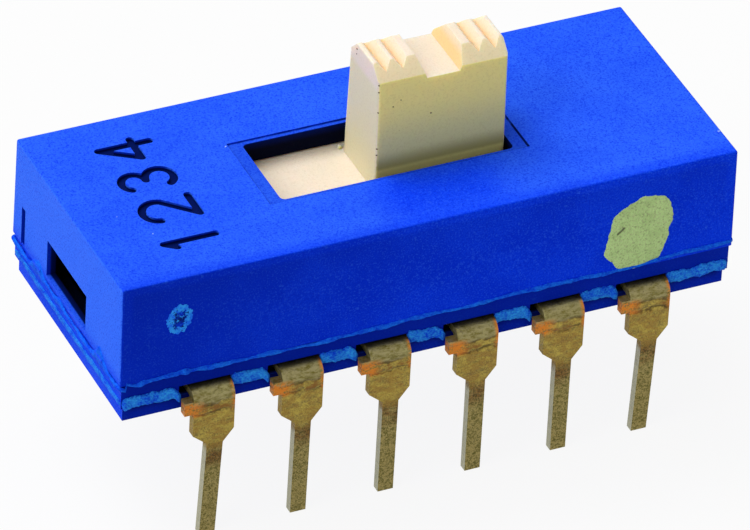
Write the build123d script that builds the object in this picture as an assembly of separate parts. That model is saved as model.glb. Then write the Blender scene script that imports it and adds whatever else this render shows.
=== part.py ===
from build123d import *
import math
import os

# Slide switch for a dual-in-line footprint: four poles, two positions, twelve leads.
# Units are millimetres. +X runs along the case, towards the end where the lever rests,
# -Y is the side with the lot mark, +Z is up. The origin is on the plane of the lead tips,
# under the middle of the case.

# --- Leads and footprint -------------------------------------------------------------
PITCH = 2.54                # lead to lead along a row
LEADS_PER_ROW = 6
ROW_SPACING = 7.62          # lead centre to lead centre across the case, at the tips
STOCK = 0.25                # thickness of the lead strip
TIP_TO_BASE = 4.12          # lead tips to the underside of the base
TAIL_WIDTH = 0.46
TAIL_TIP_WIDTH = 0.45
TAIL_OFFSET = 0.10          # root of the tail off the lead's middle, away from the stub
SHOULDER_WIDTH = 1.26
STUB_SIDE_TRIM = 0.08       # the stub's edge of the lead is trimmed back this much
SHOULDER_DROP = 0.70        # how far the wide shoulder reaches below the base
TAPER_HEIGHT = 0.38         # from shoulder width down to tail width
TAPER_SKEW = 0.02           # the stub's side of the taper ends this much higher
SHOULDER_STAND_OFF = 0.115  # between the flange of the base and the leads beside it
LEAD_COVER_GAP = 0.08       # cover's lower edge above the leads
LEAD_BEND = 0.12            # inside radius of the bend over the edge of the base
STUB_REACH = 0.18           # sheared tie bar left on one edge of each lead
STUB_HEIGHT = 0.40
STUB_TOP = 0.42             # above the underside of the base
# Leads are never quite straight: how far each tip stands along X from its grid place.
TIP_SHIFT_FRONT = [0.01, 0.11, 0.13, 0.15, 0.15, 0.03]
TIP_SHIFT_BACK = [0.12, 0.06, 0.02, -0.07, 0.05, 0.09]

# --- Case ----------------------------------------------------------------------------
END_OVERHANG = 2.54         # middle of the last lead to the end of the case
CASE_WIDTH = 7.27           # at the top face
COVER_HEIGHT = 3.52         # top face down to the joint with the base
BASE_HEIGHT = 0.78          # underside up to the joint with the cover
SIDE_DRAFT = 1.4            # degrees, long sides
END_DRAFT = 0.3             # degrees, ends
ROOF = 0.66
SIDE_WALL = 0.66
END_WALL = 0.70
BAND_HEIGHT = 0.47          # plain band below the weld line
BAND_STEP = 0.07            # how far the band stands back from the walls
PLATE_STEP = 0.09           # how far the base plate stands back from its flange
FLANGE_HEIGHT = 0.32        # flange of the base, under the cover
NOTCH_REACH = 0.25          # the open notch beside each lead, inwards from the plate's side
NOTCH_DROP = 0.05           # and below the lead
EDGE_RADIUS = 0.07          # top rim and the four upright corners
FLASH_RADIUS = 0.06         # beads of weld flash squeezed out above the band, at the ends
FLASH_LENGTH = 0.50
FLASH_PLACES = [-2.35, 1.90]

# --- Openings in the cover -----------------------------------------------------------
SLOT_WIDTH = 2.65
SLOT_CORNER = 0.15
FRAME_MARGIN_X = 0.38       # witness frame of the mould insert round the slot
FRAME_MARGIN_Y = 0.13
FRAME_DEPTH = 0.045
WINDOW_WIDTH = 2.66         # moulding window in each end
WINDOW_HEIGHT = 1.14
WINDOW_SILL = 0.62          # above the joint with the base
WINDOW_LIP = 0.25           # end wall left round the window
WINDOW_RELIEF = 0.33        # the wall is thinned this far round the window, inside
MARK_FROM_EDGE = 0.655      # witness line of the end insert, from the long side
MARK_WIDTH = 0.24
MARK_HEIGHT = 1.25
MARK_DEPTH = 0.14
MARK_DROP = 0.20            # the witness line starts this much below the window's sill

# --- Engraved pole numbers -----------------------------------------------------------
NUMERAL_HEIGHT = 1.45
NUMERAL_PITCH = 1.41
NUMERAL_STROKE = 0.23
NUMERAL_DEPTH = 0.11
NUMERAL_FROM_SLOT = 2.25    # baseline of the numbers, from the end of the slot

# --- Slider and lever ----------------------------------------------------------------
LEVER_LENGTH = 3.77
LEVER_WIDTH = 2.03          # across the case, where it leaves the slot
LEVER_HEIGHT = 3.10         # above the case
LEVER_DRAFT = 2.1           # degrees, on the two wide faces
LEVER_CHAMFER = 0.41
LEVER_TOP_ROUND = 0.06
LEVER_EDGE_ROUND = 0.08     # upright corners and the foot of the chamfers
OVERTRAVEL = 0.16           # the slider moves one lead pitch and this much more
STOP_GAP = 0.145            # lever to slot end, at each end of the travel
GROOVE_PLACES = [1.10, 1.58]
GROOVE_HALF_WIDTH = 0.19
GROOVE_DEPTH = 0.21
NOTCH_TOP_WIDTH = 1.36
NOTCH_FLOOR_WIDTH = 0.95
NOTCH_DEPTH = 0.53
SLIDER_CLEARANCE_TOP = 0.05
SLIDER_CLEARANCE_SIDE = 0.08
SLIDER_END_SPACE = 0.25     # carrier to end wall when the lever is at its stop
CARRIER_PLATE = 0.62        # thickness of the plate that closes the slot
POCKET_WALL = 0.40          # carrier outside its pockets
STAKE_HEAD_SPACE = 0.30     # carrier above the stake heads

# --- Stakes and contacts -------------------------------------------------------------
STAKE_RADIUS = 0.24
STAKE_CLEARANCE = 0.03
STAKE_HEAD_RADIUS = 0.38
STAKE_HEAD_HEIGHT = 0.14
STAKE_WALL_GAP = 0.095      # stake head to the cover's wall
STAKE_CONTACT_GAP = 0.17    # stake head to the bridge contact beside it
PAD_MARGIN = 0.20           # lead beyond the inner edge of the bridge contact
CONTACT_WIDTH = 0.80
CONTACT_STOCK = 0.12
CONTACT_LIFT = 0.02         # contact feet above the leads
CONTACT_HEIGHT = 1.30
CONTACT_CROWN = 1.14        # flat that bears in the slider's pocket
CONTACT_TOE = 0.28          # how far the turned-up toe reaches beyond the foot
FOOT_RADIUS = 0.20
POCKET_MARGIN = 0.10
RIB_CLEARANCE = 0.03        # lead to its groove in the base

# --- Detent --------------------------------------------------------------------------
BALL_RADIUS = 0.60
BALL_CLEARANCE = 0.03
BOSS_WALL = 0.42            # slider beside the bore for the balls
DETENT_DEPTH = 0.12         # how far a ball stands in the wall's track
POCKET_EXTRA = 0.04         # the end pockets are this much deeper than the track
SPRING_WIRE = 0.16
SPRING_RADIUS = 0.42
SPRING_TURNS = 7
SPRING_SEAT_GAP = 0.02

# --- Derived sizes -------------------------------------------------------------------
Z_BASE = TIP_TO_BASE
Z_JOINT = Z_BASE + BASE_HEIGHT
Z_TOP = Z_JOINT + COVER_HEIGHT
Z_ROOF = Z_TOP - ROOF
Z_LEAD = Z_JOINT - LEAD_COVER_GAP - STOCK
TRAVEL = PITCH + OVERTRAVEL
REST_X = TRAVEL / 2
SLOT_LENGTH = LEVER_LENGTH + TRAVEL + 2 * STOP_GAP
CASE_LENGTH = (LEADS_PER_ROW - 1) * PITCH + 2 * END_OVERHANG
INNER_LENGTH = CASE_LENGTH - 2 * END_WALL
INNER_WIDTH = CASE_WIDTH - 2 * SIDE_WALL
JOINT_WIDTH = CASE_WIDTH + 2 * COVER_HEIGHT * math.tan(math.radians(SIDE_DRAFT))
JOINT_LENGTH = CASE_LENGTH + 2 * COVER_HEIGHT * math.tan(math.radians(END_DRAFT))
FLANGE_WIDTH = JOINT_WIDTH - 2 * BAND_STEP
FLANGE_LENGTH = JOINT_LENGTH - 2 * BAND_STEP
TIP_FACE = ROW_SPACING / 2 + STOCK / 2
SHOULDER_FACE = FLANGE_WIDTH / 2 + SHOULDER_STAND_OFF + STOCK
STAKE_PLACE = INNER_WIDTH / 2 - STAKE_WALL_GAP - STAKE_HEAD_RADIUS
CONTACT_TRACK = STAKE_PLACE - STAKE_HEAD_RADIUS - STAKE_CONTACT_GAP - CONTACT_WIDTH / 2
PAD_END = CONTACT_TRACK - CONTACT_WIDTH / 2 - PAD_MARGIN
CARRIER_WIDTH = 2 * (CONTACT_TRACK + CONTACT_WIDTH / 2 + POCKET_MARGIN + POCKET_WALL)
CARRIER_LENGTH = INNER_LENGTH - TRAVEL - 2 * SLIDER_END_SPACE
CARRIER_TOP = Z_ROOF - SLIDER_CLEARANCE_TOP
Z_LEAD_TOP = Z_LEAD + STOCK
CARRIER_BOTTOM = Z_LEAD_TOP + STAKE_HEAD_HEIGHT + STAKE_HEAD_SPACE
Z_BALL = CARRIER_TOP - CARRIER_PLATE - BALL_CLEARANCE - BALL_RADIUS
BALL_PLACE = INNER_WIDTH / 2 + DETENT_DEPTH - BALL_RADIUS


def lead_places():
    """X of each lead in a row, symmetric about the middle."""
    return [(i - (LEADS_PER_ROW - 1) / 2) * PITCH for i in range(LEADS_PER_ROW)]


def block(x0, x1, y0, y1, z0, z1):
    """Box between two corners."""
    middle = ((x0 + x1) / 2, (y0 + y1) / 2, (z0 + z1) / 2)
    return Pos(*middle) * Box(x1 - x0, y1 - y0, z1 - z0)


def tapered(length0, width0, z0, length1, width1, z1):
    """Block with a rectangle at each of two heights and straight drafted sides."""
    low = Plane.XY.offset(z0) * Rectangle(length0, width0)
    high = Plane.XY.offset(z1) * Rectangle(length1, width1)
    return loft([low.face(), high.face()])


def drafted(length, width, z_top, z_low, side_draft, end_draft):
    """Block whose top is length by width and whose sides spread downwards."""
    drop = z_top - z_low
    spread_x = 2 * drop * math.tan(math.radians(end_draft))
    spread_y = 2 * drop * math.tan(math.radians(side_draft))
    return tapered(length + spread_x, width + spread_y, z_low, length, width, z_top)


def make_cover():
    """Moulded case: five walls, slot, end windows and the tracks for the detent balls."""
    z_band = Z_JOINT + BAND_HEIGHT
    shell = drafted(CASE_LENGTH, CASE_WIDTH, Z_TOP, z_band, SIDE_DRAFT, END_DRAFT)
    rim = shell.edges().group_by(Axis.Z)[-1]
    corners = shell.edges().group_by(SortBy.LENGTH)[0]
    shell = fillet(rim + corners, EDGE_RADIUS)
    band = block(-FLANGE_LENGTH / 2, FLANGE_LENGTH / 2, -FLANGE_WIDTH / 2, FLANGE_WIDTH / 2,
                 Z_JOINT, z_band)
    cover = shell + band
    cover -= block(-INNER_LENGTH / 2, INNER_LENGTH / 2, -INNER_WIDTH / 2, INNER_WIDTH / 2,
                   Z_JOINT - 1, Z_ROOF)
    slot = Plane.XY.offset(Z_ROOF - 1) * RectangleRounded(SLOT_LENGTH, SLOT_WIDTH, SLOT_CORNER)
    cover -= extrude(slot, ROOF + 2)
    frame_x = SLOT_LENGTH / 2 + FRAME_MARGIN_X
    frame_y = SLOT_WIDTH / 2 + FRAME_MARGIN_Y
    cover -= block(-frame_x, frame_x, -frame_y, frame_y, Z_TOP - FRAME_DEPTH, Z_TOP + 1)
    cover -= make_numerals()
    sill = Z_JOINT + WINDOW_SILL
    for side in (-1, 1):
        near = side * (INNER_LENGTH / 2 - 1)
        far = side * (JOINT_LENGTH / 2 + 1)
        cover -= block(min(near, far), max(near, far), -WINDOW_WIDTH / 2, WINDOW_WIDTH / 2,
                       sill, sill + WINDOW_HEIGHT)
        lip = side * (CASE_LENGTH / 2 - WINDOW_LIP)
        half_relief = WINDOW_WIDTH / 2 + WINDOW_RELIEF
        cover -= block(min(near, lip), max(near, lip), -half_relief, half_relief,
                       sill - WINDOW_RELIEF, sill + WINDOW_HEIGHT + WINDOW_RELIEF)
        inner = side * (CASE_LENGTH / 2 - MARK_DEPTH)
        mark_y = -side * (CASE_WIDTH / 2 - MARK_FROM_EDGE)
        mark_low = sill - MARK_DROP
        cover -= block(min(inner, far), max(inner, far), mark_y - MARK_WIDTH / 2,
                       mark_y + MARK_WIDTH / 2, mark_low, mark_low + MARK_HEIGHT)
        for place in FLASH_PLACES:
            bead = Cylinder(FLASH_RADIUS, FLASH_LENGTH, rotation=(90, 0, 0))
            cover += Pos(side * JOINT_LENGTH / 2, place, z_band + FLASH_RADIUS) * bead
    reach = BALL_RADIUS + BALL_CLEARANCE
    for side in (-1, 1):
        track = Cylinder(reach, TRAVEL, rotation=(0, 90, 0))
        cover -= Pos(0, side * BALL_PLACE, Z_BALL) * track
        for stop in (-REST_X, REST_X):
            pocket = Pos(stop, side * (BALL_PLACE + POCKET_EXTRA), Z_BALL) * Sphere(reach)
            cover -= pocket
    return cover


def stroke(*points):
    """Pen stroke with round ends through the points."""
    shape = Sketch()
    for start, end in zip(points, points[1:]):
        run = Vector(*end) - Vector(*start)
        angle = math.degrees(math.atan2(run.Y, run.X))
        middle = (Vector(*start) + Vector(*end)) / 2
        shape += Pos(middle.X, middle.Y) * SlotCenterToCenter(run.length, NUMERAL_STROKE, angle)
    return shape


def make_numeral(digit):
    """Pen strokes of one digit, its baseline centred on the origin."""
    height = NUMERAL_HEIGHT
    half = 0.29 * height
    upper = 0.235 * height
    lower = 0.265 * height
    if digit == 1:
        return stroke((-0.5 * half, 0.8 * height), (0, height), (0, 0))
    if digit == 2:
        bowl = CenterArc((0, height - half), half, -30, 200)
        foot = bowl @ 0
        return SlotArc(bowl, NUMERAL_STROKE) + stroke((foot.X, foot.Y), (-half, 0), (half, 0))
    if digit == 3:
        shape = SlotArc(CenterArc((0, height - upper), upper, -90, 240), NUMERAL_STROKE)
        return shape + SlotArc(CenterArc((0, lower), lower, -150, 240), NUMERAL_STROKE)
    return stroke((0.5 * half, 0), (0.5 * half, height), (-half, 0.32 * height),
                  (half, 0.32 * height))


def make_numerals():
    """Cutter for the pole numbers 1 to 4, which read along +Y beside the slot."""
    count = 4
    cutter = Part()
    for digit in range(1, count + 1):
        across = (digit - (count + 1) / 2) * NUMERAL_PITCH
        corner = (-SLOT_LENGTH / 2 - NUMERAL_FROM_SLOT, across, Z_TOP - NUMERAL_DEPTH)
        place = Plane(origin=corner, x_dir=(0, 1, 0), z_dir=(0, 0, 1))
        cutter += extrude(place * make_numeral(digit), 2 * NUMERAL_DEPTH)
    return cutter


def make_base():
    """Moulded base: plate, flange, a groove and a stake for each lead."""
    flange_low = Z_JOINT - FLANGE_HEIGHT
    plate_length = FLANGE_LENGTH - 2 * PLATE_STEP
    plate_width = FLANGE_WIDTH - 2 * PLATE_STEP
    base = block(-plate_length / 2, plate_length / 2, -plate_width / 2, plate_width / 2,
                 Z_BASE, flange_low)
    base += block(-FLANGE_LENGTH / 2, FLANGE_LENGTH / 2, -FLANGE_WIDTH / 2, FLANGE_WIDTH / 2,
                  flange_low, Z_JOINT)
    trough = CONTACT_TRACK + CONTACT_WIDTH / 2 + POCKET_MARGIN
    inner = CONTACT_TRACK - CONTACT_WIDTH / 2 - POCKET_MARGIN
    half = SHOULDER_WIDTH / 2 + RIB_CLEARANCE
    for side in (-1, 1):
        low, high = sorted((side * inner, side * trough))
        base -= block(-INNER_LENGTH / 2, INNER_LENGTH / 2, low, high, Z_LEAD_TOP, Z_JOINT + 1)
        for x in lead_places():
            low, high = sorted((side * (PAD_END - RIB_CLEARANCE), side * (FLANGE_WIDTH / 2 + 1)))
            base -= block(x - half, x + half, low, high, Z_LEAD, Z_JOINT + 1)
            wall = plate_width / 2 - NOTCH_REACH
            low, high = sorted((side * wall, side * (FLANGE_WIDTH / 2 + 1)))
            stub = side * STUB_REACH
            left, right = sorted((x + side * half, x - side * half))
            left = min(left, x + side * half + stub)
            right = max(right, x + side * half + stub)
            base -= block(left, right, low, high, Z_LEAD - NOTCH_DROP, Z_JOINT + 1)
            stake = Pos(x, side * STAKE_PLACE, 0) * make_stake()
            base += stake
    return base


def make_stake():
    """Heat-formed stake: a post through the lead and a flat head above it."""
    overlap = 0.01
    post_middle = (Z_LEAD + Z_LEAD_TOP) / 2
    post = Pos(0, 0, post_middle) * Cylinder(STAKE_RADIUS, STOCK + 2 * overlap)
    head_middle = Z_LEAD_TOP + STAKE_HEAD_HEIGHT / 2
    head = Pos(0, 0, head_middle) * Cylinder(STAKE_HEAD_RADIUS, STAKE_HEAD_HEIGHT)
    return post + head


def make_lead(x, side, tip_shift):
    """Stamped lead: flat pad in the base, bend over the edge, shoulder, taper and tail.

    side is -1 for the front row and +1 for the back row. The flat shape is cut from the
    bent strip by a shaped outline seen along Y, and by the hole for its stake.
    """
    half = SHOULDER_WIDTH / 2
    z_shoulder = Z_BASE - SHOULDER_DROP
    z_taper = z_shoulder - TAPER_HEIGHT
    # Section across the case, drawn for the back row: along the pad, down the shoulder,
    # and in along the tail to the tip.
    outer = [
        (PAD_END, Z_LEAD_TOP), (SHOULDER_FACE, Z_LEAD_TOP),
        (SHOULDER_FACE, z_shoulder), (TIP_FACE, 0),
        (TIP_FACE - STOCK, 0), (SHOULDER_FACE - STOCK, z_shoulder),
        (SHOULDER_FACE - STOCK, Z_LEAD), (PAD_END, Z_LEAD),
    ]
    section = make_face(Plane.YZ * Polyline(*outer, close=True))
    outside = section.vertices().sort_by_distance((0, SHOULDER_FACE, Z_LEAD_TOP))[0]
    inside = section.vertices().sort_by_distance((0, SHOULDER_FACE - STOCK, Z_LEAD))[0]
    section = fillet(outside, LEAD_BEND + STOCK)
    inside = section.vertices().sort_by_distance((0, SHOULDER_FACE - STOCK, Z_LEAD))[0]
    section = fillet(inside, LEAD_BEND)
    strip = extrude(section, 2 * (half + STUB_REACH) + 1, both=True)
    # Outline seen along Y, centred on the lead.
    stub_top = Z_BASE + STUB_TOP
    stub_low = stub_top - STUB_HEIGHT
    stub_x = side * (half + STUB_REACH)
    near = side * (half - STUB_SIDE_TRIM)
    far = -side * half
    root = -side * TAIL_OFFSET
    outline = [
        (near, Z_JOINT + 1), (near, stub_top), (stub_x, stub_top), (stub_x, stub_low),
        (near, stub_low), (near, z_shoulder),
        (root + side * TAIL_WIDTH / 2, z_taper + TAPER_SKEW),
        (tip_shift + side * TAIL_TIP_WIDTH / 2, 0), (tip_shift - side * TAIL_TIP_WIDTH / 2, 0),
        (root - side * TAIL_WIDTH / 2, z_taper - TAPER_SKEW), (far, z_shoulder),
        (far, Z_JOINT + 1),
    ]
    shape = make_face(Plane.XZ * Polyline(*outline, close=True))
    shape = extrude(shape, 2 * ROW_SPACING, both=True)
    lead = strip & shape
    if side < 0:
        lead = mirror(lead, Plane.XZ)
    hole = Pos(0, side * STAKE_PLACE, Z_LEAD) * Cylinder(STAKE_RADIUS + STAKE_CLEARANCE, 2)
    lead -= hole
    return Pos(x, 0, 0) * lead.solid()


def make_slider():
    """Moulded slider: lever, plate that closes the slot, and carrier with its pockets."""
    half_plate = INNER_WIDTH / 2 - SLIDER_CLEARANCE_SIDE
    half_length = CARRIER_LENGTH / 2
    slider = block(-half_length, half_length, -half_plate, half_plate,
                   CARRIER_TOP - CARRIER_PLATE, CARRIER_TOP)
    slider += block(-half_length, half_length, -CARRIER_WIDTH / 2, CARRIER_WIDTH / 2,
                    CARRIER_BOTTOM, CARRIER_TOP)
    boss = BALL_RADIUS + BALL_CLEARANCE + BOSS_WALL
    slider += block(-boss, boss, -half_plate, half_plate, CARRIER_BOTTOM, CARRIER_TOP)
    slider -= Pos(0, 0, Z_BALL) * Cylinder(BALL_RADIUS + BALL_CLEARANCE, INNER_WIDTH + 2,
                                          rotation=(90, 0, 0))
    pocket_top = Z_LEAD_TOP + CONTACT_LIFT + CONTACT_HEIGHT
    pocket_x = PITCH / 2 + CONTACT_TOE + CONTACT_STOCK + POCKET_MARGIN
    pocket_y = CONTACT_WIDTH / 2 + POCKET_MARGIN
    for x in (-1.5 * PITCH, 1.5 * PITCH):
        for side in (-1, 1):
            y = side * CONTACT_TRACK
            slider -= block(x - pocket_x, x + pocket_x, y - pocket_y, y + pocket_y,
                            CARRIER_BOTTOM - 1, pocket_top)
    slider += make_lever()
    return Pos(REST_X, 0, 0) * slider.solid()


def make_lever():
    """Finger lever: drafted block with chamfered top edges, four grooves and a notch."""
    z_top = Z_TOP + LEVER_HEIGHT
    shrink = 2 * LEVER_HEIGHT * math.tan(math.radians(LEVER_DRAFT))
    lever = drafted(LEVER_LENGTH, LEVER_WIDTH - shrink, z_top, Z_TOP, LEVER_DRAFT, 0)
    lever += block(-LEVER_LENGTH / 2, LEVER_LENGTH / 2, -LEVER_WIDTH / 2, LEVER_WIDTH / 2,
                   CARRIER_TOP - 0.1, Z_TOP)
    long_edges = lever.edges().filter_by(Axis.X).group_by(Axis.Z)[-1]
    lever = chamfer(long_edges, LEVER_CHAMFER)
    chamfer_feet = lever.edges().filter_by(Axis.X).group_by(Axis.Z)[-2]
    corners = lever.edges().filter_by(lambda edge: abs((edge @ 1 - edge @ 0).Z) > LEVER_HEIGHT / 2)
    lever = fillet(chamfer_feet + corners, LEVER_EDGE_ROUND)
    end_edges = lever.edges().filter_by(Axis.Y).group_by(Axis.Z)[-1]
    lever = fillet(end_edges, LEVER_TOP_ROUND)
    for place in GROOVE_PLACES:
        for side in (-1, 1):
            lever -= Pos(side * place, 0, 0) * wedge(z_top, GROOVE_HALF_WIDTH, 0, GROOVE_DEPTH)
    lever -= wedge(z_top, NOTCH_TOP_WIDTH / 2, NOTCH_FLOOR_WIDTH / 2, NOTCH_DEPTH)
    return lever


def wedge(z_top, half_top, half_floor, depth):
    """Cutter for a groove along Y whose walls slope in from z_top down to its floor."""
    slope = (half_top - half_floor) / depth
    lift = 0.2
    wide = half_top + slope * lift
    points = [(-wide, z_top + lift), (wide, z_top + lift), (half_floor, z_top - depth)]
    if half_floor > 0:
        points.append((-half_floor, z_top - depth))
    face = make_face(Plane.XZ * Polyline(*points, close=True))
    return extrude(face, LEVER_WIDTH, both=True)


def contact_line(z_corner):
    """Middle line of a bridge contact in the XZ plane, with its feet bent at z_corner."""
    crown = CONTACT_HEIGHT - CONTACT_STOCK / 2
    half_foot = PITCH / 2
    half_crown = CONTACT_CROWN / 2
    half_toe = half_foot + CONTACT_TOE
    points = [(half_toe, z_corner + CONTACT_TOE), (half_foot, z_corner), (half_crown, crown)]
    mirrored = [(-x, z) for x, z in reversed(points)]
    return FilletPolyline(*points, *mirrored, radius=FOOT_RADIUS)


def make_bridge_contact(x, side):
    """Formed spring strip: a raised middle in the slider's pocket and two round feet."""
    rounding = contact_line(0).bounding_box().min.Y
    line = contact_line(CONTACT_STOCK / 2 - rounding)
    strip = Plane.XZ.offset(-side * CONTACT_TRACK) * trace(line, CONTACT_STOCK)
    body = extrude(strip, CONTACT_WIDTH / 2, both=True)
    return Pos(REST_X + x, 0, Z_LEAD_TOP + CONTACT_LIFT) * body.solid()


def make_ball(side):
    """Steel detent ball, half out of the slider and into the wall's track."""
    return Pos(REST_X, side * BALL_PLACE, Z_BALL) * Sphere(BALL_RADIUS)


def make_detent_spring():
    """Compression spring across the slider, between the two balls, with open ends."""
    seat = math.sqrt((BALL_RADIUS + SPRING_WIRE / 2) ** 2 - SPRING_RADIUS ** 2)
    height = 2 * (BALL_PLACE - seat - SPRING_SEAT_GAP)
    helix = Helix(height / SPRING_TURNS, height, SPRING_RADIUS)
    wire = Plane(helix @ 0, z_dir=helix % 0) * Circle(SPRING_WIRE / 2)
    spring = sweep(wire, path=helix)
    spring = Pos(0, 0, -height / 2) * spring
    return Pos(REST_X, 0, Z_BALL) * Rot(90, 0, 0) * spring.solid()


def build():
    """Every piece in its place at rest, by node name."""
    nodes = {"cover": make_cover(), "base": make_base(), "slider": make_slider()}
    for number, x in enumerate(lead_places(), start=1):
        nodes[f"front_lead_{number}"] = make_lead(x, -1, TIP_SHIFT_FRONT[number - 1])
        nodes[f"back_lead_{number}"] = make_lead(x, 1, TIP_SHIFT_BACK[number - 1])
    for end, x in (("left", -1.5 * PITCH), ("right", 1.5 * PITCH)):
        nodes[f"front_{end}_contact"] = make_bridge_contact(x, -1)
        nodes[f"back_{end}_contact"] = make_bridge_contact(x, 1)
    nodes["front_detent_ball"] = make_ball(-1)
    nodes["back_detent_ball"] = make_ball(1)
    nodes["detent_spring"] = make_detent_spring()
    return nodes


os.makedirs("parts", exist_ok=True)
for name, shape in build().items():
    export_step(shape, f"parts/{name}.step")
print("travel", round(TRAVEL, 3), "carrier length", round(CARRIER_LENGTH, 3))
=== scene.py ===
import math
import bmesh
import bpy
import numpy as np
from mathutils import Matrix, Vector


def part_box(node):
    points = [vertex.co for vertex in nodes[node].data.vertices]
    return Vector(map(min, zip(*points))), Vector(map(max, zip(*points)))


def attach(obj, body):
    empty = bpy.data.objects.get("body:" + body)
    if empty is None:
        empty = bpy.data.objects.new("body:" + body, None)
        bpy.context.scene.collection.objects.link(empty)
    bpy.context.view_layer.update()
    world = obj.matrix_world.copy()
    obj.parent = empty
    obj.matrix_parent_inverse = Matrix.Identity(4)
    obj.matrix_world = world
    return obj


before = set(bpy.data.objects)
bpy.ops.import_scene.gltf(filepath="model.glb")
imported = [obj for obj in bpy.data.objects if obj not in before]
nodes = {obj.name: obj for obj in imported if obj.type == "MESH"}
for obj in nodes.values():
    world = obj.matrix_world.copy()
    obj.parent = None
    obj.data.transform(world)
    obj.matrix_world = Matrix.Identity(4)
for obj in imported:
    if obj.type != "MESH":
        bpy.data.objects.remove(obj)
scene = bpy.context.scene
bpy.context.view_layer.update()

# --- Moulded case: cover and base ----------------------------------------------------
# Two mouldings in the same bright blue plastic, welded together. The skin has the fine matt
# grain of a spark-eroded mould. Its colour also holds painted light: a hazy painted sheen on
# top, a painted lit paler left end, painted shade on the long walls and the band, and painted
# shade that goes nearly black in recesses and inside.
MM = 0.001
CASE_BLUE = (0.001, 0.046, 0.920, 1)
CASE_DEEP = (0.000, 0.026, 0.720, 1)
CASE_PALE_AND_LIT = (0.034, 0.158, 0.960, 1)
CASE_SHADE = (0.000, 0.010, 0.280, 1)
CASE_RECESS_SHADE = (0.000, 0.006, 0.090, 1)
CASE_INSIDE_SHADE = (0.001, 0.002, 0.012, 1)
CASE_GRAIN = 0.050          # size of the moulded grain, in millimetres
cover_low, cover_high = (np.array(corner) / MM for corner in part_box("cover"))
base_low, base_high = (np.array(corner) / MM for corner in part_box("base"))
WALL_X = base_high[0]       # outer faces of the flange and band
WALL_Y = base_high[1]
TOP_Z = cover_high[2]
JOINT_Z = cover_low[2]
UNDERSIDE_Z = base_low[2]
FRAME_HALF_X = 3.76         # outline of the shallow frame round the slot
FRAME_HALF_Y = 1.455
FRAME_SHADE_WIDTH = 0.045          # width of the painted shade in its step
SIDE_DRAFT = 1.4            # degrees, long walls
SIDE_LEAN = math.tan(math.radians(SIDE_DRAFT))
BAND_Z = JOINT_Z + 0.47     # top of the plain band, where the walls are widest
TOP_HALF_WIDTH = cover_high[1] - (TOP_Z - BAND_Z) * SIDE_LEAN
LEVER_SHADOW_LOW = (-0.2, -2.7)    # painted shadow of the lever at rest: the top's haze and sheen are left out here
LEVER_SHADOW_HIGH = (1.7, -2.1)
LEVER_SHADOW_FADE = 1.5
RIM_HAZE = (0.55, 0.05)     # the haze thins between these distances from the front rim
DEPTH_SIDE = 0.30           # the boxes of painted shade start this far in from the long walls
DEPTH_FLOOR = 0.36          # and this far below the joint
# Boxes of painted shade within the case, in recesses and inside: in from the ends, down from the
# top, fade outwards, colour.
CASE_SHADE_BOXES = ((0.40, 0.085, 0.030, CASE_RECESS_SHADE), (0.075, 0.085, 0.055, CASE_RECESS_SHADE),
               (0.34, 0.34, 0.30, CASE_INSIDE_SHADE))


def add_node(tree, kind, inputs, **settings):
    """One shader node with its settings. Each input is a number, a colour or a socket."""
    node = tree.nodes.new(kind)
    for key, value in settings.items():
        setattr(node, key, value)
    for name, value in inputs.items():
        if isinstance(value, bpy.types.NodeSocket):
            tree.links.new(value, node.inputs[name])
        else:
            node.inputs[name].default_value = value
    return node


def reckon(tree, operation, first, second=0.0):
    """The two values joined by one arithmetic operation."""
    return add_node(tree, "ShaderNodeMath", {0: first, 1: second}, operation=operation).outputs[0]


def product(tree, first, second):
    """The two values multiplied."""
    return reckon(tree, "MULTIPLY", first, second)


def noise(tree, place, size, detail=2.0, rough=0.5, stretch=(1, 1, 1)):
    """Cloud noise whose lumps are about size millimetres, longer along a stretched axis."""
    scale = tuple(1 / (size * MM * part) for part in stretch)
    scaled = add_node(tree, "ShaderNodeMapping", {"Vector": place, "Scale": scale})
    inputs = {"Vector": scaled.outputs[0], "Scale": 1.0, "Detail": detail, "Roughness": rough}
    return add_node(tree, "ShaderNodeTexNoise", inputs).outputs[0]


def ramp(tree, value, start, end, low=0.0, high=1.0):
    """The value carried smoothly from start..end to low..high, and held outside them."""
    inputs = {"Value": value, "From Min": start, "From Max": end, "To Min": low, "To Max": high}
    return add_node(tree, "ShaderNodeMapRange", inputs,
                    interpolation_type="SMOOTHSTEP").outputs[0]


def tint(tree, mask, below, above, kind="MIX"):
    """Colour that goes from below to above as the mask goes from 0 to 1."""
    return add_node(tree, "ShaderNodeMix", {0: mask, 6: below, 7: above}, data_type="RGBA",
                    blend_type=kind).outputs[2]


def start_group(name, inputs, outputs):
    """Empty node group with float or vector inputs and the named outputs."""
    group = bpy.data.node_groups.new(name, "ShaderNodeTree")
    for socket, kind in inputs.items():
        group.interface.new_socket(socket, in_out="INPUT", socket_type=kind)
    for socket, kind in outputs.items():
        group.interface.new_socket(socket, in_out="OUTPUT", socket_type=kind)
    return group, group.nodes.new("NodeGroupInput").outputs, group.nodes.new("NodeGroupOutput")


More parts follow.
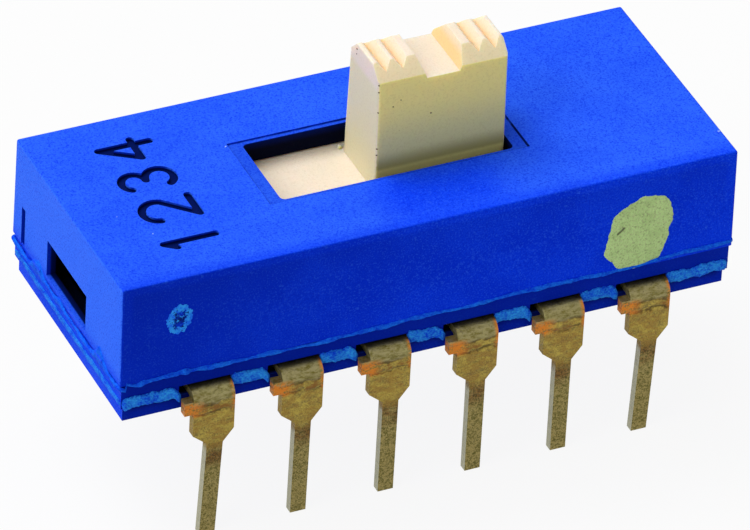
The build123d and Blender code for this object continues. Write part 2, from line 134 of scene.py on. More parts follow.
def make_skin_group():
    """Moulded skin: grain for the bump, slow clouding, and sparse specks.

    The grain adds a fine and a half-size noise. A speck is where a small noise passes
    the threshold that Speck sets."""
    kinds = {"Place": "NodeSocketVector", "Grain Scale": "NodeSocketFloat",
             "Speck Level": "NodeSocketFloat"}
    results = {name: "NodeSocketFloat" for name in ("Grain", "Cloud", "Speck")}
    group, given, result = start_group("moulded_skin", kinds, results)
    scaled = add_node(group, "ShaderNodeVectorMath", {0: given["Place"]}, operation="SCALE")
    group.links.new(given["Grain Scale"], scaled.inputs["Scale"])
    fine = add_node(group, "ShaderNodeTexNoise", {"Vector": scaled.outputs[0], "Scale": 1.0,
                                                  "Detail": 3.0, "Roughness": 0.65}).outputs[0]
    cloud = noise(group, given["Place"], 2.6, 4.0, 0.6)
    spot = noise(group, given["Place"], 0.16, 1.0, 0.4)
    above = reckon(group, "SUBTRACT", spot, given["Speck Level"])
    group.links.new(fine, result.inputs["Grain"])
    group.links.new(ramp(group, cloud, 0.32, 0.68), result.inputs["Cloud"])
    group.links.new(ramp(group, above, 0.0, 0.03), result.inputs["Speck"])
    return group


def make_within_group():
    """Mask that is 1 inside a box and fades to 0 within Fade outside of it.

    The distance of the point to the box is the length of the part of it that sticks out
    past the box's middle plus or minus its half size."""
    kinds = {"Place": "NodeSocketVector", "Middle": "NodeSocketVector",
             "Half": "NodeSocketVector", "Fade": "NodeSocketFloat"}
    group, given, result = start_group("within_box", kinds, {"Mask": "NodeSocketFloat"})
    offset = add_node(group, "ShaderNodeVectorMath", {0: given["Place"], 1: given["Middle"]},
                      operation="SUBTRACT").outputs[0]
    size = add_node(group, "ShaderNodeVectorMath", {0: offset}, operation="ABSOLUTE").outputs[0]
    past = add_node(group, "ShaderNodeVectorMath", {0: size, 1: given["Half"]},
                    operation="SUBTRACT").outputs[0]
    past = add_node(group, "ShaderNodeVectorMath", {0: past, 1: (0, 0, 0)},
                    operation="MAXIMUM").outputs[0]
    length = add_node(group, "ShaderNodeVectorMath", {0: past}, operation="LENGTH").outputs[1]
    share = reckon(group, "DIVIDE", length, given["Fade"])
    group.links.new(ramp(group, share, 0.0, 1.0, 1.0, 0.0), result.inputs["Mask"])
    return group


SKIN = make_skin_group()
WITHIN = make_within_group()


def start_material(name, roughness=0.5, **constants):
    """New material: its tree, its shader and the place of the point on the piece.

    Numbers that are the same all over the surface are set on the shader itself."""
    material = bpy.data.materials.new(name)
    material.use_nodes = True
    tree = material.node_tree
    shader = tree.nodes["Principled BSDF"]
    shader.inputs["Roughness"].default_value = roughness
    for socket, value in constants.items():
        shader.inputs[socket.replace("_", " ")].default_value = value
    return material, tree, shader, tree.nodes.new("ShaderNodeTexCoord")


def add_skin(tree, place, grain, speck=0.72):
    """The moulded skin's outputs, with grain of that size in millimetres."""
    node = tree.nodes.new("ShaderNodeGroup")
    node.node_tree = SKIN
    tree.links.new(place, node.inputs["Place"])
    node.inputs["Grain Scale"].default_value = 1 / (grain * MM)
    node.inputs["Speck Level"].default_value = speck
    return node.outputs


def within(tree, place, low, high, fade):
    """Mask of the box from corner low to corner high, in millimetres."""
    middle = [(a + b) / 2 * MM for a, b in zip(low, high)]
    half = [(b - a) / 2 * MM for a, b in zip(low, high)]
    node = tree.nodes.new("ShaderNodeGroup")
    node.node_tree = WITHIN
    tree.links.new(place, node.inputs["Place"])
    node.inputs["Middle"].default_value = middle
    node.inputs["Half"].default_value = half
    node.inputs["Fade"].default_value = fade * MM
    return node.outputs["Mask"]


def axes_of(tree, vector):
    """X, Y and Z of a vector."""
    return add_node(tree, "ShaderNodeSeparateXYZ", {0: vector}).outputs


def bump(tree, shader, height, depth, strength=1.0):
    """Relief of that depth in millimetres, from a height that runs from 0 to 1."""
    inputs = {"Height": height, "Distance": depth * MM, "Strength": strength}
    tree.links.new(add_node(tree, "ShaderNodeBump", inputs).outputs[0], shader.inputs["Normal"])


def frame_step_shade(tree, place, x):
    """Painted shade in the step of the shallow frame round the slot, broken up and darker
    towards the right: what lies within the frame's outline and outside the outline drawn in
    by the line's width."""
    middle = np.array([0.0, 0.0, TOP_Z])
    half = np.array([FRAME_HALF_X, FRAME_HALF_Y, 0.1])
    drawn_in = half - np.array([FRAME_SHADE_WIDTH, FRAME_SHADE_WIDTH, 0.0])
    outer = within(tree, place, middle - half, middle + half, 0.02)
    inner = within(tree, place, middle - drawn_in, middle + drawn_in, 0.02)
    line = reckon(tree, "SUBTRACT", outer, inner)
    broken = ramp(tree, noise(tree, place, 0.5, 3.0, 0.6), 0.36, 0.56, 0.25, 0.95)
    to_right = ramp(tree, x, -3.0 * MM, 3.5 * MM, 0.45, 1.0)
    return product(tree, line, product(tree, broken, to_right))


def top_haze_and_sheen(tree, place, y, facing):
    """Mask of the pale haze on the top, which also serves as painted sheen: clouds of noise,
    left out in a painted shadow before the lever's place and thinned along the front rim."""
    haze = noise(tree, place, 1.6, 4.0, 0.65)
    on_top = ramp(tree, facing[2], 0.6, 0.95)
    haze_and_sheen = product(tree, ramp(tree, haze, 0.35, 0.70, 0.46, 0.64), on_top)
    lever_shadow = within(tree, place, (*LEVER_SHADOW_LOW, TOP_Z - 1), (*LEVER_SHADOW_HIGH, TOP_Z + 1),
                          LEVER_SHADOW_FADE)
    start, end = ((inwards - TOP_HALF_WIDTH) * MM for inwards in RIM_HAZE)
    at_rim = ramp(tree, y, start, end, 0.0, 0.6)
    # Painted shadow of the lever at rest; it stays here when the lever moves.
    kept = reckon(tree, "SUBTRACT", 1.0, product(tree, lever_shadow, 0.85))
    kept = product(tree, kept, reckon(tree, "SUBTRACT", 1.0, at_rim))
    return product(tree, haze_and_sheen, kept)


def make_case_plastic():
    """Matt blue plastic: clouded and grained, hazy on top with painted sheen, painted paler at
    the left end where the light falls, with painted shade darker towards the left on the long
    walls and on the band, and painted shade in recesses and inside."""
    material, tree, shader, coords = start_material("case_plastic", Specular_IOR_Level=0.02)
    place = coords.outputs["Object"]
    skin = add_skin(tree, place, CASE_GRAIN)
    x, y, z = axes_of(tree, place)
    facing = axes_of(tree, coords.outputs["Normal"])
    clouded = ramp(tree, skin["Cloud"], 0.0, 1.0, 0.25, 0.85)
    colour = tint(tree, clouded, CASE_DEEP, CASE_BLUE)
    # Pale haze on the top, partly painted sheen.
    colour = tint(tree, top_haze_and_sheen(tree, place, y, facing), colour, CASE_PALE_AND_LIT)
    # Painted light: the left end, which faces the lamps, is painted paler above the flash.
    end = ramp(tree, product(tree, facing[0], -1.0), 0.5, 0.95, 0.0, 0.95)
    above_flash = ramp(tree, z, (BAND_Z - 0.10) * MM, (BAND_Z + 0.45) * MM, 0.25, 1.0)
    colour = tint(tree, product(tree, end, above_flash), colour, CASE_PALE_AND_LIT)
    colour = tint(tree, ramp(tree, skin["Grain"], 0.50, 0.66, 0.0, 0.75), colour, CASE_DEEP)
    colour = tint(tree, ramp(tree, skin["Grain"], 0.48, 0.34, 0.0, 0.35), colour, CASE_PALE_AND_LIT)
    colour = tint(tree, product(tree, skin["Speck"], 0.28), colour, CASE_PALE_AND_LIT)
    long_side = ramp(tree, reckon(tree, "ABSOLUTE", facing[1]), 0.5, 0.9)
    # Painted shade: the long walls are darker towards the left end.
    painted_shade_to_left = ramp(tree, x, 3.0 * MM, -10.0 * MM, 0.0, 0.50)
    colour = tint(tree, product(tree, painted_shade_to_left, long_side), colour, CASE_SHADE)
    # Painted shade: the band below the flash on the long walls.
    painted_shade_low = ramp(tree, z, (JOINT_Z + 0.50) * MM, (JOINT_Z + 0.40) * MM, 0.0, 0.70)
    colour = tint(tree, product(tree, painted_shade_low, long_side), colour, CASE_SHADE)
    # Painted shade in the step of the frame round the slot.
    colour = tint(tree, frame_step_shade(tree, place, x), colour, CASE_RECESS_SHADE)
    # Painted shade in recesses, nearly black inside the case.
    for from_end, from_top, fade, dark in CASE_SHADE_BOXES:
        corner = np.array([WALL_X - from_end, cover_high[1] - DEPTH_SIDE, TOP_Z - from_top])
        low = (-corner[0], -corner[1], JOINT_Z - DEPTH_FLOOR)
        inside = within(tree, place, low, corner, fade)
        colour = tint(tree, inside, colour, dark)
    tree.links.new(colour, shader.inputs["Base Color"])
    tree.links.new(ramp(tree, skin["Cloud"], 0.0, 1.0, 0.62, 0.50), shader.inputs["Roughness"])
    bump(tree, shader, skin["Grain"], 0.012)
    return material


def dress(material, *names):
    """Gives CAD nodes the material in place of their own."""
    for name in names:
        nodes[name].data.materials.clear()
        nodes[name].data.materials.append(material)


case_plastic = make_case_plastic()
dress(case_plastic, "cover", "base")

# --- Weld flash and torn ledge -------------------------------------------------------
# Plastic that the weld squeezed out in an uneven bead round the case, and the edge of the
# base's flange, torn rough between the leads. Both are stretched pale, and part of the case.
FLASH_BLUE = (0.002, 0.050, 0.800, 1)
FLASH_PALE = (0.012, 0.210, 1.000, 1)
TORN_PALE = (0.035, 0.390, 1.000, 1)
FLASH_OUT = 0.050           # how far the bead stands out, on average
FLASH_UP = 0.052            # half its height
FLASH_LINE = JOINT_Z + 0.50
FLASH_COURSE = ((-8.9, 0.06), (-8.5, -0.09), (-7.2, -0.01), (-4.9, -0.06), (0.0, -0.02),
                (5.0, 0.05), (8.8, 0.12))   # place along the front, height off the line
LEFT_DROP = 0.20            # the bead lies this much lower across the left end
LEFT_CURLS = ((-2.35, 0.30, 1.0), (1.90, 0.34, 0.8), (0.4, 0.2, 0.4))    # place, width, size
FRONT_LUMPS = ((-8.30, 0.16, 0.9), (-7.05, 0.12, 0.8))
END_ROOM = 0.058            # the bead stands out no further than this, across the ends
SIDE_ROOM = 0.09            # and along the sides
LEDGE_LOW = UNDERSIDE_Z + 0.45
LEDGE_HIGH = UNDERSIDE_Z + 0.79
LEDGE_OUT = 0.075           # how far the ledge stands out
END_LEDGE = 0.50            # size of the ledge across the ends, against the long sides
LEAD_PITCH = 2.54
LEADS = 6
LEDGE_START = 0.645         # ledge starts this far past the middle of the lead before it
LEDGE_END = 0.765           # and ends this far before the middle of the next
RIB_COLUMNS = 20            # points round a rib
RIB_RIPPLE = 0.11           # length of its longest waves
RIB_SEAM = 0.6              # a closed rib's end is blended into its start over this length
END_CLEARANCE = 0.003       # ribs stay this far within the case's length


def ripple(u, v, octaves, seed):
    """Uneven height of about -1 to 1. Each octave is the product of two sine waves in
    turned directions, twice as short and two thirds as high as the one before."""
    rng = np.random.default_rng(seed)
    total = np.zeros(np.broadcast(u, v).shape)
    for octave in range(octaves):
        turn, first, second = rng.uniform(0, 2 * np.pi, 3)
        along = u * np.cos(turn) + v * np.sin(turn)
        across = v * np.cos(turn) - u * np.sin(turn)
        wave = np.sin(along * 2 ** octave + first) * np.sin(across * 2 ** octave + second)
        total += wave * (2 / 3) ** octave
    return total


def rolled_edge(path, outward, out, up, seed, roughness, square=1.0, closed=False):
    """Grid of an uneven rounded rib along a path.

    Each ring is an ellipse, out wide and up high, about the path's point, boxier as square
    falls below 1; its radii are multiplied by one plus roughness times a ripple. out and up
    fall to nothing at the ends of an open rib, which closes it. It stays within the walls'
    greatest length."""
    turn = np.linspace(0, 2 * np.pi, RIB_COLUMNS, endpoint=False)
    steps = np.linalg.norm(np.diff(path, axis=0, prepend=path[:1]), axis=1).cumsum()
    uneven = ripple(steps[:, None] / RIB_RIPPLE, turn[None, :] * 1.5, 5, seed)
    if closed:
        seam = np.clip((steps[-1] - steps) / RIB_SEAM, 0, 1)[:, None]
        uneven = uneven * seam + uneven[:1] * (1 - seam)
    factor = 1 + roughness * uneven
    level = np.sign(np.cos(turn)) * np.abs(np.cos(turn)) ** square
    rise = np.sign(np.sin(turn)) * np.abs(np.sin(turn)) ** square
    sideways = (level[None, :] * factor * np.reshape(out, (-1, 1)))[..., None]
    upward = (rise[None, :] * factor * np.reshape(up, (-1, 1)))[..., None]
    points = path[:, None, :] + outward[:, None, :] * sideways + np.array([0, 0, 1.0]) * upward
    reach = cover_high[0] - END_CLEARANCE
    points[..., 0] = np.clip(points[..., 0], -reach, reach)
    return points


def grid_faces(rows, columns, closed_rows, start):
    """Quads between neighbouring points of a grid whose columns always close."""
    index = start + np.arange(rows * columns).reshape(rows, columns)
    index = np.hstack([index, index[:, :1]])
    if closed_rows:
        index = np.vstack([index, index[:1]])
    quads = np.stack([index[:-1, :-1], index[:-1, 1:], index[1:, 1:], index[1:, :-1]], axis=-1)
    return quads.reshape(-1, 4)


def make_piece(name, grids, material, body, closed_rows=False):
    """One object from several grids of points in millimetres, its poles merged, riding on
    a body. Faces are turned outwards."""
    points, faces, start = [], [], 0
    for grid in grids:
        points.append(grid.reshape(-1, 3) * MM)
        faces.append(grid_faces(*grid.shape[:2], closed_rows, start))
        start += grid.shape[0] * grid.shape[1]
    mesh = bpy.data.meshes.new(name)
    mesh.from_pydata(np.concatenate(points), [], np.concatenate(faces).tolist())
    shape = bmesh.new()
    shape.from_mesh(mesh)
    bmesh.ops.remove_doubles(shape, verts=shape.verts, dist=1e-7)
    bmesh.ops.dissolve_degenerate(shape, edges=shape.edges, dist=1e-8)
    bmesh.ops.recalc_face_normals(shape, faces=shape.faces)
    shape.to_mesh(mesh)
    shape.free()
    mesh.shade_smooth()
    mesh.materials.append(material)
    piece = bpy.data.objects.new(name, mesh)
    scene.collection.objects.link(piece)
    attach(piece, body)
    return piece


def loop_path(half_x, half_y, corner, spacing):
    """Even points round a rectangle with round corners, and the way out at each.

    A quarter arc at each corner is joined to the next by a straight side, and the whole
    is divided evenly by its length."""
    quarter = np.linspace(0, np.pi / 2, 9)
    points, normals = [], []
    for turn, sign_x, sign_y in ((-np.pi / 2, 1, -1), (0, 1, 1), (np.pi / 2, -1, 1),
                                 (np.pi, -1, -1)):
        way = np.stack([np.cos(turn + quarter), np.sin(turn + quarter)], axis=1)
        middle = np.array([sign_x * (half_x - corner), sign_y * (half_y - corner)])
        points.append(middle + corner * way)
        normals.append(way)
    points = np.concatenate(points + [points[0][:1]])
    normals = np.concatenate(normals + [normals[0][:1]])
    length = np.linalg.norm(np.diff(points, axis=0, prepend=points[:1]), axis=1).cumsum()
    even = np.arange(0, length[-1], spacing)
    path = np.stack([np.interp(even, length, points[:, k]) for k in (0, 1)], axis=1)
    out = np.stack([np.interp(even, length, normals[:, k]) for k in (0, 1)], axis=1)
    flat = np.zeros((len(even), 1))
    return np.hstack([path, flat]), np.hstack([out, flat])


def near(value, middle, width):
    """Smooth hump of 1 at the middle that dies away over the width."""
    return np.exp(-((value - middle) / width) ** 2)


def flash_bead():
    """Bead round the case: it wanders up and down, lies lower at the left end, and has
    thick curls there near both corners."""
    path, out = loop_path(cover_high[0] - 0.065, cover_high[1] + 0.002, 0.10, 0.03)
    x, y = path[:, 0], path[:, 1]
    front = (y < -WALL_Y + 0.2) * 1.0
    left = (x < -WALL_X + 0.1) * 1.0
    wander = 0.035 * ripple(x * 1.1, y * 1.1, 3, 5)
    along = np.interp(x, *zip(*FLASH_COURSE))
    curls = sum(size * near(y, place, width) for place, width, size in LEFT_CURLS)
    path[:, 2] = FLASH_LINE + wander + front * along + left * (0.24 * curls - LEFT_DROP)
    lump = sum(size * front * near(x, place, width) for place, width, size in FRONT_LUMPS)
    size = 1 + 0.35 * ripple(x * 3.0, y * 3.0, 2, 8) + left * curls * 0.8 + lump
    tall = 1 + left * curls * 1.7
    end = np.abs(x) > WALL_X + 0.01
    room = np.where(end, END_ROOM, SIDE_ROOM)
    return rolled_edge(path, out, np.minimum(FLASH_OUT * size, room), FLASH_UP * size * tall, 3,
                       0.20, closed=True)


def ledge_rib(first, last, fixed, outward, seed, curl, size=1.0):
    """Torn rib from first to last along a wall at the fixed place, on the flange's edge.

    Where it curls, its last quarter of a millimetre swells, bends down and rounds off."""
    count = int(abs(last - first) / 0.022) + 8
    run = np.linspace(first, last, count)
    wall = np.full(count, float(fixed))
    to_end = np.abs(run - last)
    from_start = np.abs(run - first)
    drop = curl * 0.20 * near(to_end, 0.0, 0.17)
    height = (LEDGE_LOW + LEDGE_HIGH) / 2 - drop + 0.022 * ripple(run * 2.6, run * 0.0, 3, seed)
    if outward[0]:
        path = np.stack([wall, run, height], axis=1)
    else:
        path = np.stack([run, wall, height], axis=1)
    taper = np.sqrt(np.clip(from_start / 0.05, 0, 1)) * np.sqrt(np.clip(to_end / 0.10, 0, 1))
    swell = 1 + curl * 0.75 * near(to_end, 0.12, 0.12)
    out = LEDGE_OUT * size * taper * swell
    thin = 1 + 0.05 * ripple(run * 3.7, run * 0.0, 2, seed + 5)
    up = (LEDGE_HIGH - LEDGE_LOW) / 2 * size * taper * thin
    ways = np.tile(np.array(outward, float), (count, 1))
    return rolled_edge(path, ways, out, up, seed, 0.15, square=0.6)


def torn_ledge():
    """Ribs between the leads of both rows, beyond the last leads, and across both ends."""
    ribs = []
    places = [(number - (LEADS - 1) / 2) * LEAD_PITCH for number in range(LEADS)]
    starts = [-WALL_X + 0.02] + [place + LEDGE_START for place in places]
    ends = [place - LEDGE_END for place in places] + [WALL_X - 0.02]
    for number, (first, last) in enumerate(zip(starts, ends)):
        curl = 0.0 if number == LEADS else 1.0
        ribs.append(ledge_rib(first, last, -WALL_Y, (0, -1, 0), 20 + number, curl))
        ribs.append(ledge_rib(-first, -last, WALL_Y, (0, 1, 0), 40 + number, curl))
    for side in (-1, 1):
        ribs.append(ledge_rib(-WALL_Y + 0.02, WALL_Y - 0.02, side * WALL_X, (side, 0, 0),
                              60 + side, 0.0, END_LEDGE))
    return ribs


def make_flash_plastic(name, pale, streak):
    """The same plastic torn and stretched: fibres and patches of it are pale, and less so
    across the ends."""
    material, tree, shader, coords = start_material(name, roughness=0.6,
                                                    Specular_IOR_Level=0.03)
    place = coords.outputs["Object"]
    facing = axes_of(tree, coords.outputs["Normal"])
    fibres = noise(tree, place, 0.050, 4.0, 0.75, stretch=(1.3, 1.3, 0.9))
    patches = noise(tree, place, 0.30, 3.0, 0.6)
    white = reckon(tree, "ADD", ramp(tree, fibres, 0.40, 0.62, 0.0, streak),
                   ramp(tree, patches, 0.36, 0.60, 0.0, 1 - streak))
    on_end = ramp(tree, reckon(tree, "ABSOLUTE", facing[0]), 0.4, 0.8, 1.0, 0.75)
    white = product(tree, white, on_end)
    tree.links.new(tint(tree, white, FLASH_BLUE, pale), shader.inputs["Base Color"])
    bump(tree, shader, fibres, 0.04)
    return material


flash_plastic = make_flash_plastic("weld_flash_plastic", FLASH_PALE, 0.55)
ledge_plastic = make_flash_plastic("torn_plastic", TORN_PALE, 0.6)
make_piece("weld_flash", [flash_bead()], flash_plastic, "case", closed_rows=True)
make_piece("torn_ledge", torn_ledge(), ledge_plastic, "case")

# --- Paint mark and scuff ------------------------------------------------------------
# A thick dab of olive marking paint on the front wall, with a cut across it, and near the
# other end a round spot where the wall has been rubbed pale and pitted.
PAINT_OLIVE = (0.440, 0.640, 0.230, 1)
PAINT_LIGHT = (0.530, 0.750, 0.290, 1)
PAINT_CUT = (0.110, 0.130, 0.055, 1)
PAINT_REDDISH = (0.420, 0.360, 0.230, 1)
PAINT_THICK = 0.040
PAINT_MIDDLE = (6.10, 6.45)     # along the case and up
CUT_MIDDLE = (5.51, 6.69)
CUT_HALF = (0.12, 0.006)        # half its length and width
CUT_TURN = math.radians(40)
# Rim of the dab: clockwise from the top left, along the case and up.
PAINT_RIM = [(5.28, 7.17), (5.71, 7.45), (6.05, 7.62), (6.44, 7.63), (6.80, 7.50), (7.00, 7.16),
             (7.05, 6.75), (6.93, 6.45), (6.89, 6.02), (6.70, 5.62), (6.63, 5.48), (6.25, 5.42),
             (5.56, 5.40), (5.30, 5.72), (5.08, 5.95), (5.15, 6.42), (5.23, 6.79)]
SCUFF_PALE = (0.030, 0.330, 1.000, 1)
SCUFF_DARK = (0.001, 0.012, 0.160, 1)
SCUFF_THICK = 0.012
SCUFF_MIDDLE = (-7.26, 7.13)
CORE_MIDDLE = (-7.24, 7.11)     # pitted core of the spot
CORE_HALF = (0.05, 0.16)
SCUFF_RIM = [(-7.52, 7.40), (-7.20, 7.58), (-6.95, 7.38), (-6.92, 7.05), (-7.08, 6.76),
             (-7.36, 6.68), (-7.58, 6.92), (-7.60, 7.20)]
PATCH_ROOT = 0.03               # a patch reaches this far into the wall
THROUGH = 9.0                   # more than half the case's width: a mask right through it


def patch_on_front(middle, rim, thick, rows, columns, seed, raggedness):
    """Closed thin patch on the front wall.

    Its rim is the closed smooth line through the rim points, made ragged by a ripple. The
    outside rises from the rim as the fourth root of the depth inwards, uneven by a ripple,
    and the inside lies within the wall."""
    rim = np.array(rim) - np.array(middle)
    angle = np.unwrap(np.arctan2(rim[:, 1], rim[:, 0]))
    order = np.argsort(angle)
    angle, radius = angle[order], np.hypot(rim[:, 0], rim[:, 1])[order]
    turn = np.linspace(0, 2 * np.pi, columns, endpoint=False) + angle[0]
    reach = np.interp(turn, angle, radius, period=2 * np.pi)
    width = columns // 60
    smooth = np.ones(2 * width + 1) / (2 * width + 1)
    padded = np.concatenate([reach[-width:], reach, reach[:width]])
    reach = np.convolve(padded, smooth, mode="valid")
    edge = ripple(np.cos(turn) * 9, np.sin(turn) * 9, 4, seed)
    share = np.concatenate([1 - np.linspace(1, 0, rows) ** 2, [1.0, 0.0]])
    inside = np.concatenate([np.zeros(rows), [1.0, 1.0]])
    reach = reach * (1 + raggedness * edge)
    across = middle[0] + share[:, None] * reach * np.cos(turn)
    upward = middle[1] + share[:, None] * reach * np.sin(turn)
    crest = np.clip(1 - share, 0, 1)[:, None] ** 0.25
    relief = 1 + 0.22 * ripple(across * 5, upward * 5, 4, seed + 1)
    stand = np.where(inside[:, None] > 0, -PATCH_ROOT, thick * crest * relief - 0.002)
    wall = -(TOP_HALF_WIDTH + (TOP_Z - upward) * SIDE_LEAN)
    return np.stack([across, wall - stand, upward], axis=-1)


def make_marking_paint():
    """Dried thick paint: slightly uneven, dirty in its hollows, with one dark cut."""
    material, tree, shader, coords = start_material("marking_paint", Specular_IOR_Level=0.3)
    place = coords.outputs["Object"]
    brushed = noise(tree, place, 0.35, 4.0, 0.65)
    fine = noise(tree, place, 0.07, 2.0, 0.6)
    colour = tint(tree, ramp(tree, brushed, 0.35, 0.65), PAINT_OLIVE, PAINT_LIGHT)
    colour = tint(tree, ramp(tree, fine, 0.52, 0.70, 0.0, 0.50), colour, PAINT_CUT)
    grit = noise(tree, place, 0.04, 3.0, 0.7)
    colour = tint(tree, ramp(tree, grit, 0.48, 0.64, 0.0, 0.45), colour, PAINT_REDDISH)
    turned = add_node(tree, "ShaderNodeMapping", {
        "Vector": place, "Location": (-CUT_MIDDLE[0] * MM, 0, -CUT_MIDDLE[1] * MM)},
        vector_type="POINT")
    turned = add_node(tree, "ShaderNodeMapping", {
        "Vector": turned.outputs[0], "Rotation": (0, CUT_TURN, 0)})
    half = np.array([CUT_HALF[0], THROUGH, CUT_HALF[1]])
    cut = within(tree, turned.outputs[0], -half, half, 0.045)
    colour = tint(tree, cut, colour, PAINT_CUT)
    tree.links.new(colour, shader.inputs["Base Color"])
    tree.links.new(ramp(tree, brushed, 0.3, 0.7, 0.55, 0.75), shader.inputs["Roughness"])
    height = reckon(tree, "SUBTRACT", reckon(tree, "ADD", brushed, fine), cut)
    bump(tree, shader, height, 0.025)
    return material


def make_scuffed_plastic():
    """Blue plastic rubbed pale, with the untouched pits left dark."""
    material, tree, shader, coords = start_material("scuffed_plastic", roughness=0.7,
                                                    Specular_IOR_Level=0.03)
    place = coords.outputs["Object"]
    pits = noise(tree, place, 0.085, 4.0, 0.7)
    middle = np.array([CORE_MIDDLE[0], 0.0, CORE_MIDDLE[1]])
    half = np.array([CORE_HALF[0], THROUGH, CORE_HALF[1]])
    core = within(tree, place, middle - half, middle + half, 0.26)
    deep = reckon(tree, "ADD", pits, ramp(tree, core, 0.0, 1.0, -0.04, 0.13))
    colour = tint(tree, ramp(tree, deep, 0.54, 0.62), SCUFF_PALE, SCUFF_DARK)
    worn = noise(tree, place, 0.16, 4.0, 0.7)
    colour = tint(tree, ramp(tree, worn, 0.42, 0.62, 0.0, 0.60), colour, CASE_BLUE)
    tree.links.new(colour, shader.inputs["Base Color"])
    bump(tree, shader, pits, 0.03)
    return material


dab = patch_on_front(PAINT_MIDDLE, PAINT_RIM, PAINT_THICK, rows=24, columns=300, seed=11,
                     raggedness=0.018)
make_piece("paint_mark", [dab], make_marking_paint(), "case")
spot = patch_on_front(SCUFF_MIDDLE, SCUFF_RIM, SCUFF_THICK, rows=16, columns=160, seed=13,
                      raggedness=0.07)
scuff = make_piece("wall_scuff", [spot], make_scuffed_plastic(), "case")

# --- Slider with its lever -----------------------------------------------------------
# One ivory plastic moulding. Its long sides have yellowed, painted shade darkens the foot of
# the lever and warms the walls of its grooves, and the plate in the slot has a small bead
# left by the gate.
IVORY = (0.800, 0.700, 0.560, 1)
IVORY_CLEAN = (0.860, 0.725, 0.600, 1)
IVORY_END = (0.760, 0.690, 0.450, 1)
IVORY_GROOVE_SHADE = (0.880, 0.600, 0.240, 1)
IVORY_YELLOWED = (0.900, 0.800, 0.290, 1)
IVORY_SPECK = (0.420, 0.300, 0.130, 1)
FOOT_SHADE_OLIVE = (0.420, 0.520, 0.330, 1)
FOOT_SHADE_AND_GRIME = (0.060, 0.050, 0.015, 1)
LEVER_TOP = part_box("slider")[1][2] / MM
LEVER_LENGTH = 3.77
LEVER_WIDTH = 2.03
LEVER_REST = 1.35              # middle of the lever at rest
LEVER_X = LEVER_REST - LEVER_LENGTH / 2
LEVER_DRAFT = 2.1              # degrees, on the wide faces
LEVER_LEAN = math.tan(math.radians(LEVER_DRAFT))
CARRIER_TOP = TOP_Z - 0.71     # plate seen in the slot
GATE_BEAD = (-0.59, 1.14)


def near_band(tree, value, middle, width):
    """Mask that is 1 where the value is at the middle and 0 beyond the width."""
    away = reckon(tree, "ABSOLUTE", reckon(tree, "SUBTRACT", value, middle))
    return ramp(tree, away, 0.0, width, 1.0, 0.0)


def make_ivory_plastic():
    """Ivory plastic: pinkish on top, yellowed on the long sides, with painted warm shade in its
    grooves and painted shade at the foot.
    """
    material, tree, shader, coords = start_material(
        "ivory_plastic", Specular_IOR_Level=0.15, Subsurface_Weight=0.60,
        Subsurface_Radius=(0.9, 0.6, 0.4), Subsurface_Scale=0.00045)
    place = coords.outputs["Object"]
    skin = add_skin(tree, place, 0.06, 0.80)
    x, _, z = axes_of(tree, place)
    facing = axes_of(tree, coords.outputs["Normal"])
    colour = tint(tree, skin["Cloud"], IVORY, IVORY_CLEAN)
    side = ramp(tree, reckon(tree, "ABSOLUTE", facing[1]), 0.55, 0.95)
    below_top = ramp(tree, z, (LEVER_TOP - 0.50) * MM, (LEVER_TOP - 0.75) * MM)
    end = ramp(tree, reckon(tree, "ABSOLUTE", facing[0]), 0.7, 0.98)
    colour = tint(tree, product(tree, end, below_top), colour, IVORY_END)
    # Painted warm shade on the walls of the grooves, more so deeper in.
    cut_walls = ramp(tree, reckon(tree, "ABSOLUTE", facing[0]), 0.10, 0.60)
    right_of_corner = ramp(tree, x, (LEVER_X + 0.10) * MM, (LEVER_X + 0.20) * MM)
    cut_walls = product(tree, cut_walls, right_of_corner)
    deeper = ramp(tree, z, (LEVER_TOP - 0.04) * MM, (LEVER_TOP - 0.30) * MM, 0.15, 0.8)
    above_cuts = ramp(tree, z, (LEVER_TOP - 0.75) * MM, (LEVER_TOP - 0.60) * MM)
    deeper = product(tree, deeper, above_cuts)
    colour = tint(tree, product(tree, cut_walls, deeper), colour, IVORY_GROOVE_SHADE)
    colour = tint(tree, side, colour, IVORY_YELLOWED)
    # Painted shade at the foot of the lever on its long sides: a broad olive band, darker just
    # above the slot, and a thin dark line there.
    shade_band = near_band(tree, z, (TOP_Z + 0.45) * MM, 1.7 * MM)
    colour = tint(tree, product(tree, product(tree, shade_band, side), 0.42), colour, FOOT_SHADE_OLIVE)
    painted_shade_low = ramp(tree, z, (TOP_Z + 0.55) * MM, (TOP_Z + 0.02) * MM, 0.0, 0.5)
    above_slot = ramp(tree, z, (TOP_Z - 0.10) * MM, (TOP_Z + 0.02) * MM, 0.1, 1.0)
    foot = product(tree, painted_shade_low, above_slot)
    colour = tint(tree, product(tree, foot, side), colour, FOOT_SHADE_AND_GRIME)
    wander = noise(tree, place, 0.5, 3.0, 0.6)
    height = reckon(tree, "ADD", z, product(tree, wander, 0.12 * MM))
    line = ramp(tree, height, (TOP_Z + 0.06) * MM, (TOP_Z - 0.08) * MM, 0.0, 0.15)
    line = product(tree, line, ramp(tree, z, (TOP_Z - 0.5) * MM, (TOP_Z - 0.3) * MM))
    colour = tint(tree, product(tree, line, side), colour, FOOT_SHADE_AND_GRIME)
    colour = tint(tree, ramp(tree, skin["Grain"], 0.48, 0.68, 0.0, 0.14), colour, IVORY_SPECK)
    colour = tint(tree, product(tree, skin["Speck"], 0.8), colour, IVORY_SPECK)
    tree.links.new(colour, shader.inputs["Base Color"])
    tree.links.new(ramp(tree, skin["Cloud"], 0.0, 1.0, 0.45, 0.6), shader.inputs["Roughness"])
    bump(tree, shader, skin["Grain"], 0.010)
    return material


